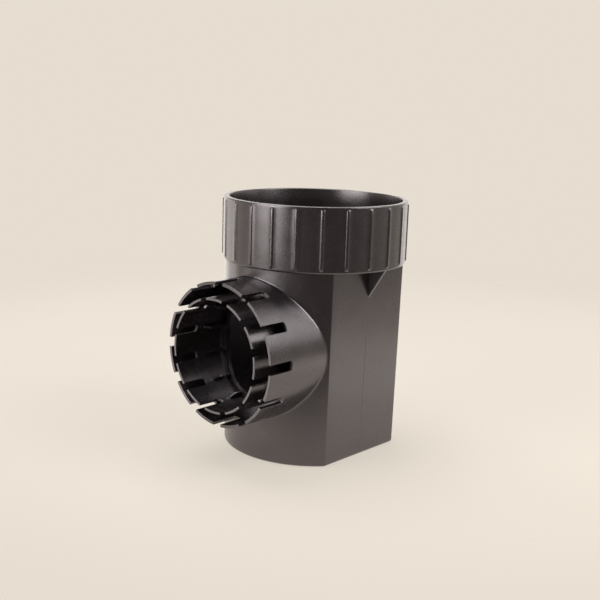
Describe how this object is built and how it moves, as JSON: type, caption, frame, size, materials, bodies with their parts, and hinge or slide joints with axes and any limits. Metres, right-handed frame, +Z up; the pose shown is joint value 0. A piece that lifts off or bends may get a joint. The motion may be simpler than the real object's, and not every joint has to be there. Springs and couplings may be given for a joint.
{
  "type": "catch basin",
  "caption": "One-piece plastic drain catch basin: round sump with side flats, a ribbed riser socket on top and a side outlet with two rings of spring fingers for drain pipe.",
  "frame": {"origin": "centre of the flat base, on the axis of the sump and its riser socket", "axes": "+Z up out of the riser socket, +X out of the pipe outlet, the two side flats face +Y and -Y"},
  "size_m": [0.213, 0.1724, 0.2335],
  "materials": {
    "black_plastic": "satin moulded black plastic"
  },
  "bodies": {
    "root": {"basin_body": "black_plastic"}
  },
  "joints": []
}
